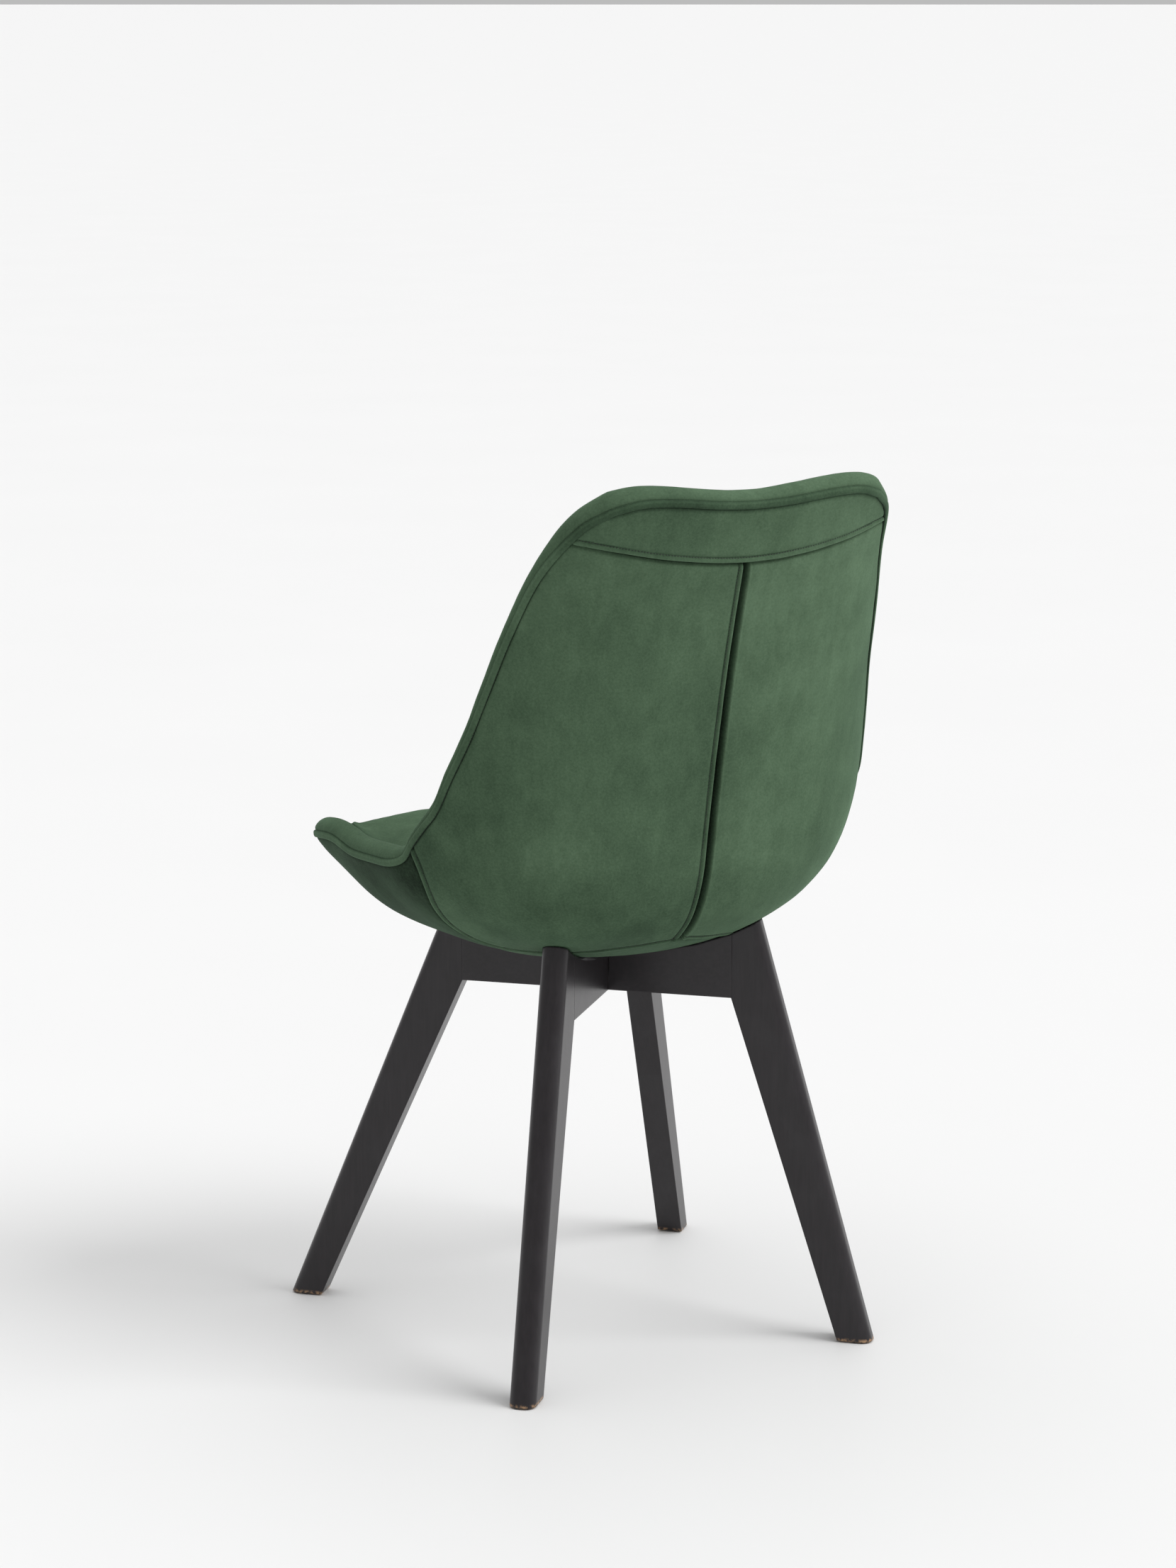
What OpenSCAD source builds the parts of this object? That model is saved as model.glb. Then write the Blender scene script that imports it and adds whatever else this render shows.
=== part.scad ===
// Tulip dining chair: an upholstered bucket shell with a loose seat pad,
// bolted to a crossed base of four tapered wooden legs. Units are mm.
// +Z is up, the sitter faces -Y, and +X is on the sitter's left.

/* [Base] */
// Thickness of the boards that the base is cut from
board = 25.5; // [20:0.5:32]
// Height of the underside of the cross rails
rail_z = 334.4; // [300:0.2:360]
// Radius of the inner corner between rail and leg
corner_r = 134; // [110:1:160]
// Radius of a front leg's inner edge at the floor
front_foot_r = 283.3; // [250:0.1:300]
// Radius of a rear leg's inner edge at the floor
rear_foot_r = 241; // [220:1:280]
// Width of a leg at the floor, along its diagonal
foot_w = 33.5; // [28:0.5:45]
// Radius of a front leg's outer edge where it meets the shell
front_top_r = 160; // [150:1:180]
// Radius of a rear leg's outer edge where it meets the shell
rear_top_r = 160; // [150:1:180]
// Rounding of a leg's two outer edges
edge_round = 10; // [4:0.5:12]
// Thickness of the felt glides
glide_h = 1.6; // [1:0.2:4]
// Offset of the cross centre from the middle of the chair's length
cross_y = -19.1; // [-40:0.1:10]

/* [Fixings] */
// Distance of the four bolts from the cross centre
bolt_r = 85; // [70:1:100]
// Radius of a bolt's shank
shank_r = 3; // [2.5:0.5:4]
// Radius of a bolt's clearance hole
hole_r = 3.3; // [2.8:0.1:4.5]
// Radius of the counterbore under each bolt
recess_r = 7; // [6:0.5:9]
// Depth of that counterbore
recess_h = 14; // [8:1:20]
// Radius of a dowel between rail and leg
dowel_r = 4; // [3:0.5:5]

/* [Upholstery] */
// Thickness of the velvet cover
cover = 2; // [1:0.5:3]
// Thickness of the foam outside the moulded shell
outer_foam_h = 6; // [3:1:10]
// Thickness of the moulded shell
shell_h = 5; // [3:0.5:8]
// Thickness of the foam inside the moulded shell
inner_foam_h = 10; // [6:1:20]
// Gap left between neighbouring layers
gap = 0.15; // [0.1:0.05:0.5]
// Top of the seat pad above the floor, at its middle
pad_top = 491; // [470:1:520]

/* [Hidden] */
$fn = 48;
e = 0.01;
green = [0.10, 0.17, 0.10];
black = [0.03, 0.03, 0.03];

// The shell's outer face, drawn as cross lines from the front lip to the crest.
// Each row: centre line y and z, half width, rim y and z, fullness, wrap.
LINES = [
  [-243, 455, 182, -208, 461, 2.00, 0.90],
  [-236, 440, 213, -180, 473, 2.24, 0.95],
  [-218, 416, 226, -152, 483, 2.44, 0.97],
  [-170, 391, 232, -108, 490, 2.52, 0.97],
  [-100, 375, 236,  -61, 487, 2.47, 0.97],
  [ -30, 372, 239,  -12, 490, 2.29, 0.97],
  [  40, 375, 241,   24, 494, 2.20, 0.97],
  [ 100, 389, 239,   47, 502, 2.19, 0.96],
  [ 148, 411, 240,   66, 520, 2.27, 0.94],
  [ 178, 438, 237,   80, 535, 2.26, 0.92],
  [ 196, 476, 233,   96, 552, 2.30, 0.88],
  [ 207, 530, 227,  111, 582, 2.33, 0.84],
  [ 218, 590, 218,  130, 620, 2.36, 0.80],
  [ 232, 655, 209,  148, 662, 2.40, 0.80],
  [ 248, 720, 199,  173, 715, 2.40, 0.80],
  [ 263, 774, 185,  202, 770, 2.40, 0.80],
  [ 275, 815, 166.7, 241, 813, 2.40, 0.80],
  [ 279.5, 831, 145.6, 264, 833, 2.40, 0.80],
  [ 283, 844.5, 167.7, 268, 852, 2.40, 0.80]];
last = len(LINES) - 1;
front_t = 0.47;          // the panels stop here, and the rolled rim goes on
// the crest dips in the middle and turns down at the corners (s from -1 to 1)
function crest(s) = 16.83 + 1.71*s*s - 1.66*pow(s, 4)
  - 0.10*(1 - pow(max(1 - pow(abs(s), 2.56), 0), 1/2.56));
band_t = 15.1;           // lower edge of the top band, on the centre line
under_u = 0.5;           // half width of the underside panel
under_t = 6.1;           // where the side seams meet the underside panel
hem_t = 7.8;             // rear end of the underside panel, on the centre line
side_t = 7.6;            // where the side seams meet the rim
wall = 2*cover + outer_foam_h + shell_h + inner_foam_h;
roll = wall/2;

// ---- the shell's surface ----

function mix(a, b, s) = a + (b - a)*s;
function row_at(i) = i < 0 ? 2*LINES[0] - LINES[1]
  : i > last ? 2*LINES[last] - LINES[last - 1] : LINES[i];
// a smooth line through the rows
function line_at(t) = let (i = min(floor(t), last - 1), s = t - i,
    a = row_at(i - 1), b = row_at(i), c = row_at(i + 1), d = row_at(i + 2))
  0.5*(2*b + (c - a)*s + (2*a - 5*b + 4*c - d)*s*s + (3*b - a - 3*c + d)*s*s*s);
function arc(s, n, k) = 1 - pow(1 - pow(k*s, n), 1/n);
function face(u, t) = let (c = line_at(t), g = arc(abs(u), c[5], c[6])/arc(1, c[5], c[6]))
  [c[2]*u, mix(c[0], c[3], g), mix(c[1], c[4], g)];
function unit(v) = v/norm(v);
function inward(u, t) = let (h = 0.02)
  unit(cross(face(min(u + h, 1), t) - face(max(u - h, -1), t),
             face(u, min(t + 0.1, last)) - face(u, max(t - 0.1, 0))));
// the front corners are rounded by drawing the first lines back at both sides
function drawn(u, t) = t > front_t + 3 ? [u, t] : let (s = min(abs(u)/edge(t), 1),
    back = t + 0.75*(1 - pow(max(1 - pow(s, 3.5), 0), 1/3.5))*(front_t + 3 - t)/3)
  [u/edge(t)*edge(back), back];
// a point of the shell at a depth below the outer face
function deep(u, t, d) = let (q = drawn(u, t)) face(q[0], q[1]) + d*inward(q[0], q[1]);

// ---- closed solids from two matching grids of points ----

// keep(i, j) says which cells are solid; edges of the kept cells get a wall.
module slab(low, high, keep = function (i, j) true) {
  m = len(low) - 1;
  n = len(low[0]) - 1;
  w = n + 1;
  all = (m + 1)*w;
  has = function (i, j) i >= 0 && j >= 0 && i < m && j < n && keep(i, j);
  points = concat([for (r = low) each r], [for (r = high) each r]);
  faces = [for (i = [0:m - 1], j = [0:n - 1]) if (has(i, j))
    let (a = i*w + j, b = a + 1, c = a + w + 1, d = a + w)
    each concat(
      [[a, b, c], [a, c, d], [a + all, c + all, b + all], [a + all, d + all, c + all]],
      has(i - 1, j) ? [] : [[a, a + all, b + all], [a, b + all, b]],
      has(i + 1, j) ? [] : [[c, c + all, d + all], [c, d + all, d]],
      has(i, j - 1) ? [] : [[d, d + all, a + all], [d, a + all, a]],
      has(i, j + 1) ? [] : [[b, b + all, c + all], [b, c + all, c]])];
  polyhedron(points, faces, convexity = 8);
}

// a panel of the shell between two depths, over rows of [t, low u, high u]
module panel(rows, across, d0, d1, keep = function (i, j) true) {
  grid = function (d) [for (r = rows) [for (j = [0:across])
    deep(mix(r[1], r[2], j/across), r[0], d)]];
  slab(grid(d0), grid(d1), keep);
}
// the share of a row's half width that the panels cover
function edge(t) = 1 - 0.85*roll/(norm(face(1, t) - face(0.97, t))/0.03);
// a column's place from one side to the other, closer together near the rim
function share(j) = let (x = 2*j/cols - 1) mix(x, sin(90*x), 0.6);
// a full-width panel between two lines, the upper one given by a function
module full(t0, top, n, d0, d1, keep = function (i, j) true) {
  grid = function (d) [for (i = [0:n]) [for (j = [0:cols])
    let (s = share(j), t = mix(t0, top(s), i/n)) deep(s*edge(t), t, d)]];
  slab(grid(d0), grid(d1), keep);
}

// ---- base ----

// turns a part drawn along +X to one of the four diagonals
module on_diagonal(a) translate([0, cross_y, 0]) rotate([0, 0, a]) children();
module stand_up() rotate([90, 0, 0]) linear_extrude(board, center = true) children();

// the rail's top line follows the shell: radius and height from the centre out
FRONT_TOP = [[0, 371.6], [60, 372.2], [100, 375], [corner_r, 380.4], [front_top_r, 387]];
REAR_TOP = [[0, 371.6], [60, 375.8], [100, 384.6], [corner_r, 396.6], [rear_top_r, 410.2]];

module leg(foot_r, top, rake) {
  foot_out = foot_r + foot_w;
  top_out = top[4];
  lean = atan2(foot_out - top_out[0], top_out[1]);
  difference() {
    intersection() {
      stand_up() polygon([[foot_r, glide_h], [foot_out, glide_h], top_out, top[3],
        [corner_r, rail_z]]);
      translate([foot_out, 0, 0]) rotate([0, -lean, 0])
        translate([0, 0, -60]) linear_extrude(560) rounded_bar();
    }
    dowel_holes();
    translate([foot_r + foot_w/2, 0, glide_h - e]) cylinder(r = 1.6, h = 13);
  }
}
module rounded_bar() {
  half = board/2;
  translate([-200, -half]) square([200 - edge_round, board]);
  translate([-edge_round - 1, edge_round - half])
    square([edge_round + 1, board - 2*edge_round]);
  for (s = [-1, 1]) translate([-edge_round, s*(half - edge_round)]) circle(edge_round);
}
module dowel_holes(r = dowel_r + 0.05, extra = 0.5)
  for (z = [349, 367]) translate([corner_r - 20 - extra, 0, z])
    rotate([0, 90, 0]) cylinder(r = r, h = 40 + 2*extra);

// a board across the whole diagonal, front leg on the +X side
module rail_board() difference() {
  stand_up() polygon(concat([[-corner_r, rail_z], [corner_r, rail_z]],
    [for (i = [3:-1:0]) FRONT_TOP[i]], [for (i = [1:3]) [-REAR_TOP[i][0], REAR_TOP[i][1]]]));
  for (s = [-1, 1]) {
    translate([s*bolt_r, 0, rail_z - e]) cylinder(r = recess_r, h = recess_h + e);
    translate([s*bolt_r, 0, rail_z]) cylinder(r = hole_r, h = 80);
  }
  dowel_holes();
  rotate([0, 0, 180]) dowel_holes();
}
half_lap_z = 353;
module lap_notch(up) translate([-board/2 - 0.05, -board, up ? half_lap_z : rail_z - 5])
  cube([board + 0.1, 2*board, up ? 60 : half_lap_z - rail_z + 5]);

FRONT_LEFT = -45;
FRONT_RIGHT = -135;
REAR_RIGHT = 135;
REAR_LEFT = 45;
module leg_front_left() color(black) on_diagonal(FRONT_LEFT) leg(front_foot_r, FRONT_TOP);
module leg_front_right() color(black) on_diagonal(FRONT_RIGHT) leg(front_foot_r, FRONT_TOP);
module leg_rear_left() color(black) on_diagonal(REAR_LEFT) leg(rear_foot_r, REAR_TOP);
module leg_rear_right() color(black) on_diagonal(REAR_RIGHT) leg(rear_foot_r, REAR_TOP);
module cross_rail_lower() color(black) on_diagonal(FRONT_LEFT)
  difference() { rail_board(); lap_notch(true); }
module cross_rail_upper() color(black) on_diagonal(FRONT_RIGHT)
  difference() { rail_board(); lap_notch(false); }
module leg_dowels() color("tan") for (a = [FRONT_LEFT, FRONT_RIGHT, REAR_LEFT, REAR_RIGHT])
  on_diagonal(a) dowel_holes(dowel_r, 0);
module foot_glides() color("dimgray")
  for (f = [[FRONT_LEFT, front_foot_r], [FRONT_RIGHT, front_foot_r],
            [REAR_LEFT, rear_foot_r], [REAR_RIGHT, rear_foot_r]])
    on_diagonal(f[0]) translate([f[1] + foot_w/2, 0, 0]) {
      cylinder(r = 10, h = glide_h);
      cylinder(r = 1.5, h = glide_h + 12);
    }

// ---- fixings ----

washer_h = 1.5;
head_h = 6;
module at_bolts() for (a = [FRONT_LEFT, FRONT_RIGHT, REAR_LEFT, REAR_RIGHT])
  on_diagonal(a) translate([bolt_r, 0, 0]) children();
module mounting_bolts() color("silver") at_bolts() difference() {
  union() {
    translate([0, 0, rail_z + recess_h - washer_h - head_h]) cylinder(r = 5, h = head_h);
    translate([0, 0, rail_z + recess_h - washer_h - e]) cylinder(r = shank_r, h = 48);
  }
  translate([0, 0, rail_z + recess_h - washer_h - head_h - e])
    rotate([0, 0, 30]) cylinder(r = 2.9, h = 3.5, $fn = 6);
}
module bolt_washers() color("silver") at_bolts()
  translate([0, 0, rail_z + recess_h - washer_h]) difference() {
    cylinder(r = 6.5, h = washer_h);
    translate([0, 0, -1]) cylinder(r = hole_r, h = washer_h + 2);
  }
// brass inserts and their bosses stand between the rails and the moulded shell
function boss_low(front) = front ? 374.6 : 383;
function boss_high(front) = front ? 382 : 388.5;
module each_boss() for (a = [FRONT_LEFT, FRONT_RIGHT, REAR_LEFT, REAR_RIGHT])
  on_diagonal(a) translate([bolt_r, 0, 0]) let ($low = boss_low(a < 0), $high = boss_high(a < 0))
    children();
module threaded_inserts() color("gold") each_boss() translate([0, 0, $low]) difference() {
  cylinder(r = 5, h = $high - $low);
  translate([0, 0, -1]) cylinder(r = shank_r + 0.05, h = 40);
}
module shell_bosses() color("dimgray") each_boss() translate([0, 0, $low]) difference() {
  cylinder(r = 10, h = $high - $low);
  translate([0, 0, -1]) cylinder(r = 5.05, h = 40);
}

// ---- shell and upholstery ----

module placed() translate([0, cross_y, 0]) children();
rows = 28;
cols = 18;
// the cover and outer foam are cut away over the base
function over_base(u, t) = let (p = face(u, t)) abs(p[0]) < 84 && abs(p[1]) < 84;
function cell_t(i, n, t0, t1) = mix(t0, t1, (i + 0.5)/n);
module layer(d0, d1, opening = false) placed()
  full(front_t, function (s) crest(s), rows, d0 + gap, d1 - gap,
    function (i, j) let (s = share(j + 0.5), t = cell_t(i, rows, front_t, crest(s)))
      !(opening && over_base(edge(t)*s, t)));
d1 = cover;
d2 = d1 + outer_foam_h;
d3 = d2 + shell_h;
d4 = d3 + inner_foam_h;
module seat_shell() color("dimgray") layer(d2, d3);
module outer_foam() color("khaki") layer(d1, d2, true);
module inner_foam() color("khaki") layer(d3, d4);

// side seam: from the underside panel up to the rim
function seam_u(t) = t >= side_t ? edge(t) : min(edge(t),
  under_u + (edge(side_t) - under_u)*pow(max(t - under_t, 0)/(side_t - under_t), 0.3));
// edge of the underside panel, straight at the sides and round at the rear
function under(t) = t < under_t ? under_u
  : under_u*sqrt(max(1 - pow((t - under_t)/(hem_t + 0.1 - under_t), 2), 0));
// the top band's lower edge rises towards both sides
function band(u) = band_t + 0.6*pow(abs(u), 1.8);
seam = 0.002;
module back_panel() placed() let (n = 24, m = 10) slab_between(n, m,
  function (i, j) let (t0 = under_t + 0.05, s = j/m,
      t = mix(t0, band(mix(0, 0.95, s)) - 0.02, i/n)) [mix(under(t) + seam, seam_u(t) - seam, s), t]);
module slab_between(n, m, at) {
  grid = function (d) [for (i = [0:n]) [for (j = [0:m]) let (q = at(i, j)) deep(q[0], q[1], d)]];
  slab(grid(0), grid(cover));
}
module side_panel() placed() panel([for (i = [0:16]) let (t = mix(front_t, side_t - 0.15, i/16))
  [t, t < under_t ? under_u : seam_u(t), edge(t)]], 8, 0, cover);
module cover_back_left() color(green) back_panel();
module cover_back_right() color(green) mirror([1, 0, 0]) back_panel();
module cover_side_left() color(green) side_panel();
module cover_side_right() color(green) mirror([1, 0, 0]) side_panel();
module cover_top_band() color(green) placed() slab_between(5, cols,
  function (i, j) let (s = share(j), t = mix(band(0.95*s), crest(s), i/5)) [s*edge(t), t]);
module cover_underside() color(green) placed()
  panel([for (i = [0:16]) let (t = mix(front_t, hem_t, i/16)) [t, seam - under(t), under(t) - seam]],
    12, 0, cover, function (i, j) let (t = cell_t(i, 16, front_t, hem_t))
      !over_base(under(t)*mix(-1, 1, (j + 0.5)/12), t));
inner_t = 9.2;
module cover_inner_back() color(green) placed()
  full(inner_t, function (s) crest(s), 18, d4, d4 + cover);
module cover_inner_seat() color(green) placed()
  full(front_t, function (s) inner_t - 0.02, 18, d4, d4 + cover);

// the rim's path runs once around the edge of the panels
RIM = concat(
  [for (j = [0:cols]) drawn(share(j)*edge(front_t), front_t)],
  [for (i = [4:27]) let (t = mix(front_t, crest(1), i/28)) [edge(t), t]],
  [for (j = [cols:-1:0]) let (s = share(j), t = crest(s)) [s*edge(t), t]],
  [for (i = [27:-1:4]) let (t = mix(front_t, crest(1), i/28)) [-edge(t), t]]);
// a ring swept round the rim: outline points are [outward, depth]
module around_rim(outline) {
  n = len(RIM);
  m = len(outline);
  p = [for (q = RIM) face(q[0], q[1])];
  points = [for (i = [0:n - 1]) let (in = inward(RIM[i][0], RIM[i][1]),
      along = unit(p[(i + 1) % n] - p[(i + n - 1) % n]), out = unit(cross(along, in)))
    each [for (o = outline) p[i] + o[0]*out + o[1]*in]];
  faces = [for (i = [0:n - 1], k = [0:m - 1])
    let (a = i*m + k, b = i*m + (k + 1) % m, c = ((i + 1) % n)*m + (k + 1) % m,
         d = ((i + 1) % n)*m + k) each [[a, b, c], [a, c, d]]];
  polyhedron(points, faces, convexity = 8);
}
function bulge(r, steps, turn = 1) = [for (k = [0:steps])
  let (a = turn*(-90 + 180*k/steps)) [0.1 + 0.85*r*cos(a), roll + r*sin(a)]];
module rim_band() color(green) placed()
  around_rim(concat(bulge(roll, 8), bulge(roll - cover, 8, -1)));
module rim_foam() color("khaki") placed() around_rim(bulge(roll - cover - gap, 8));

// ---- seat pad ----

pad_u = 0.905;
pad_rows = 20;
pad_cols = 16;
pad_edge = 18;           // the pad's thickness at its seam
// the pad's plan narrows a little towards its two ends
function pad_half(s) = pad_u*(1 - 0.06*pow(abs(2*s - 1), 9));
function pad_t(s) = mix(0.5, 8.6, s);
function pad_floor(u, t, lift) = deep(u, t, wall + 0.4 + lift);
// the pad's face above a point of its base: crowned, and rounded down at its edges
function pad_face(q, v, s, drop) = let (
    roof = pad_top - 4.5*v*v - 13*s,
    full = 1 - pow(max(abs(v), abs(2*s - 1)), 4.7))
  [q[0], q[1], q[2] - drop + pad_edge + max(roof - q[2] - pad_edge, 0)*full];
function pad_grid(lift) = [for (i = [0:pad_rows]) let (s = i/pad_rows) [for (j = [-pad_cols/2:pad_cols/2])
  let (v = 2*j/pad_cols) pad_floor(v*pad_half(s), pad_t(s), lift)]];
function pad_roof(drop) = let (g = pad_grid(0)) [for (i = [0:pad_rows]) [for (j = [0:pad_cols])
  pad_face(g[i][j], 2*j/pad_cols - 1, i/pad_rows, drop)]];
module seat_pad_underside() color(green) placed() slab(pad_grid(0), pad_grid(cover));
module seat_pad_foam() color("khaki") placed() slab(pad_grid(cover + gap), pad_roof(cover + gap));
module seat_pad_cover() color(green) placed() slab(pad_roof(cover), pad_roof(0));

leg_front_left();
leg_front_right();
leg_rear_left();
leg_rear_right();
cross_rail_lower();
cross_rail_upper();
leg_dowels();
foot_glides();
mounting_bolts();
bolt_washers();
threaded_inserts();
shell_bosses();
seat_shell();
outer_foam();
inner_foam();
rim_foam();
rim_band();
cover_back_left();
cover_back_right();
cover_top_band();
cover_side_left();
cover_side_right();
cover_underside();
cover_inner_back();
cover_inner_seat();
seat_pad_foam();
seat_pad_cover();
seat_pad_underside();
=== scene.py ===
import math
import bpy
import numpy as np
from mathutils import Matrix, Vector, noise
from mathutils.bvhtree import BVHTree
from mathutils.kdtree import KDTree


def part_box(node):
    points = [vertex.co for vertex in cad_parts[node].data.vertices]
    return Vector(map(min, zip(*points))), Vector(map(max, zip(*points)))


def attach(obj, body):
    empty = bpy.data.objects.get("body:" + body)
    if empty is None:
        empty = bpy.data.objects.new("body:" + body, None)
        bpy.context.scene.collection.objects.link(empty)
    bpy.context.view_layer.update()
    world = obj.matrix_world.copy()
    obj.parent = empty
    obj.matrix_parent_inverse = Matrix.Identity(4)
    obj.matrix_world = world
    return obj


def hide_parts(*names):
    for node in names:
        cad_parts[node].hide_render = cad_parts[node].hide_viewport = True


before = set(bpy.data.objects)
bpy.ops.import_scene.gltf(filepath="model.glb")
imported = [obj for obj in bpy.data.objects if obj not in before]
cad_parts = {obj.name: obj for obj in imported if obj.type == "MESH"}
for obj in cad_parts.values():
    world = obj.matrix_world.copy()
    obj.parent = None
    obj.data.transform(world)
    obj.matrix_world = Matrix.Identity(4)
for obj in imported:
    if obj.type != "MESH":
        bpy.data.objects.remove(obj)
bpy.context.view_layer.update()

# The camera: a long lens behind the chair's rear left leg, a little above the
# back. It is placed from the centre of the crossed base, which is the middle
# of the ring of bolt washers.
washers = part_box("bolt_washers")
cross = (washers[0] + washers[1]) / 2
cross.z = 0
heading = math.radians(150.3809)
look_down = math.radians(11.1804)
lens = bpy.data.cameras.new("camera")
lens.sensor_width = 36
lens.lens = 91.14
camera = bpy.data.objects.new("camera", lens)
camera.location = cross + Vector((1.84852, 3.23020, 1.26855))
camera.rotation_euler = (math.pi / 2 - look_down, 0, heading)
bpy.context.scene.collection.objects.link(camera)
bpy.context.scene.camera = camera
bpy.context.scene.view_settings.view_transform = "Standard"
bpy.context.view_layer.update()


# Finishes. A Value is one number of a shader, and arithmetic on it adds Math
# nodes. A Finish is one material, and its node() makes every other node.
class Value:
    def __init__(self, finish, socket):
        self.finish, self.socket = finish, socket

    def math(self, operation, a, b):
        return self.finish.node("Math", {"operation": operation}, {0: a, 1: b})

    def __add__(self, other):
        return self.math("ADD", self, other)

    def __sub__(self, other):
        return self.math("SUBTRACT", self, other)

    def __rsub__(self, other):
        return self.math("SUBTRACT", other, self)

    def __mul__(self, other):
        return self.math("MULTIPLY", self, other)

    __radd__, __rmul__ = __add__, __mul__

    def band(self, low, high):
        """0 below low, 1 above high, smooth between."""
        return self.finish.node("MapRange", {"interpolation_type": "SMOOTHSTEP"},
                                {0: self, 1: low, 2: high})


class Finish:
    def __init__(self, name, **fixed):
        self.material = bpy.data.materials.new(name)
        self.material.use_nodes = True
        self.tree = self.material.node_tree
        self.shader = self.tree.nodes["Principled BSDF"]
        for socket, value in fixed.items():
            self.shader.inputs[socket.replace("_", " ")].default_value = value

    def node(self, kind, settings=None, sockets=None, out=0):
        made = self.tree.nodes.new("ShaderNode" + kind)
        for key, value in (settings or {}).items():
            if key == "stops":
                ramp = made.color_ramp.elements
                for i, (place, colour) in enumerate(value):
                    stop = ramp[i] if i < 2 else ramp.new(place)
                    stop.position, stop.color = place, (*colour, 1)
            else:
                setattr(made, key, value)
        for key, value in (sockets or {}).items():
            self.feed(made.inputs[key], value)
        return Value(self, made.outputs[out])

    def feed(self, socket, value):
        if isinstance(value, Value):
            self.tree.links.new(value.socket, socket)
        else:
            socket.default_value = value

    def place(self, turn=0.0, stretch=(1, 1, 1)):
        """A point of the object in metres, turned about Z and stretched."""
        here = self.node("TexCoord", out=3)
        return self.node("Mapping", {}, {0: here, 2: (0, 0, turn), 3: stretch})

    def cloud(self, at, size, detail=2.0, rough=0.5, warp=0.0):
        """Noise with blobs of about the given size in metres."""
        return self.node("TexNoise", {}, {"Vector": at, "Scale": 1 / size, "Detail": detail,
                                          "Roughness": rough, "Distortion": warp})

    def blend(self, amount, a, b):
        return self.node("Mix", {"data_type": "RGBA"}, {0: amount, 6: a, 7: b}, out=2)

    def bump(self, height, depth, strength=1.0, under=None):
        sockets = {"Height": height, "Distance": depth, "Strength": strength}
        if under is not None:
            sockets["Normal"] = under
        return self.node("Bump", {}, sockets)

    def set(self, **sockets):
        for key, value in sockets.items():
            self.feed(self.shader.inputs[key.replace("_", " ")], value)
        return self


# The floor and the light: a seamless pale studio floor, a bright even room, a
# large soft light on the camera's right and a wide one overhead.
def studio_floor():
    side = 1500.0            # far enough for its edge to stay out of sight
    mesh = bpy.data.meshes.new("studio_floor")
    mesh.from_pydata([(-side, -side, 0), (side, -side, 0), (side, side, 0), (-side, side, 0)],
                     [], [(0, 1, 2, 3)])
    floor = bpy.data.objects.new("studio_floor", mesh)
    bpy.context.scene.collection.objects.link(floor)
    paint = Finish("studio_floor", Roughness=0.55)
    speck = paint.cloud(paint.place(), 0.5, 3)
    paint.set(Base_Color=paint.blend(speck, (0.80, 0.80, 0.80, 1), (0.82, 0.82, 0.82, 1)))
    mesh.materials.append(paint.material)


studio_floor()
room = bpy.data.worlds.new("room")
room.use_nodes = True
sky = room.node_tree.nodes["Background"]
sky.inputs["Color"].default_value = (1.0, 1.0, 1.0, 1)
sky.inputs["Strength"].default_value = 0.50
bpy.context.scene.world = room
right = Vector((math.cos(heading), math.sin(heading), 0))
towards = Vector((camera.location.x, camera.location.y, 0)).normalized()
for name, energy, angle, way in (
        ("side_softbox", 1.75, 36, right * 1.0 + towards * 0.35 + Vector((0, 0, 0.95))),
        ("ceiling_softbox", 1.15, 100, right * 0.25 + Vector((0, 0, 1)))):
    lamp = bpy.data.objects.new(name, bpy.data.lights.new(name, "SUN"))
    lamp.data.energy = energy
    lamp.data.angle = math.radians(angle)
    lamp.rotation_mode = "QUATERNION"
    lamp.rotation_quaternion = way.to_track_quat("Z", "Y")
    bpy.context.scene.collection.objects.link(lamp)


# The legs and cross rails: solid beech boards stained black under a satin
# lacquer, with softened edges. The grain runs along each board, and the
# lacquer has rubbed off the very bottom edges of the feet.
def black_wood(name, turn, stretch, feet=False):
    wood = Finish(name, Coat_Roughness=0.24, Coat_IOR=1.5, Specular_IOR_Level=0.30)
    grain_at = wood.place(turn, stretch)
    grain = wood.cloud(grain_at, 0.0042, 4, 0.62, 0.4)
    pores = wood.cloud(grain_at, 0.0011, 2, 0.6)
    smear = wood.cloud(wood.place(), 0.035, 3, 0.55, 0.6)
    stain = wood.blend(grain.band(0.3, 0.75),
                       (0.0105, 0.0082, 0.0100, 1), (0.0155, 0.0122, 0.0146, 1))
    stain = wood.blend(smear.band(0.45, 0.8) * 0.4, stain, (0.018, 0.016, 0.0185, 1))
    if feet:
        spot = wood.node("SeparateXYZ", {}, {0: wood.place()}, out=2)
        chips = wood.cloud(wood.place(), 0.004, 3).band(0.40, 0.62)
        worn = (1 - spot.band(0.0022, 0.0058)) * chips
        stain = wood.blend(worn, stain, (0.36, 0.22, 0.12, 1))
    rough = 0.29 + 0.10 * smear + 0.05 * grain
    ripple = wood.bump(grain, 0.00006, 0.5)
    arris = wood.node("Bevel", {"samples": 8}, {"Radius": 0.0022, "Normal": ripple})
    wood.set(Base_Color=stain, Roughness=rough, Coat_Weight=0.16 + 0.2 * smear,
             Normal=wood.bump(pores, 0.00005, 0.5, arris))
    return wood.material


def finish_node(node, material):
    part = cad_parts[node]
    part.data.materials.clear()
    part.data.materials.append(material)


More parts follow.
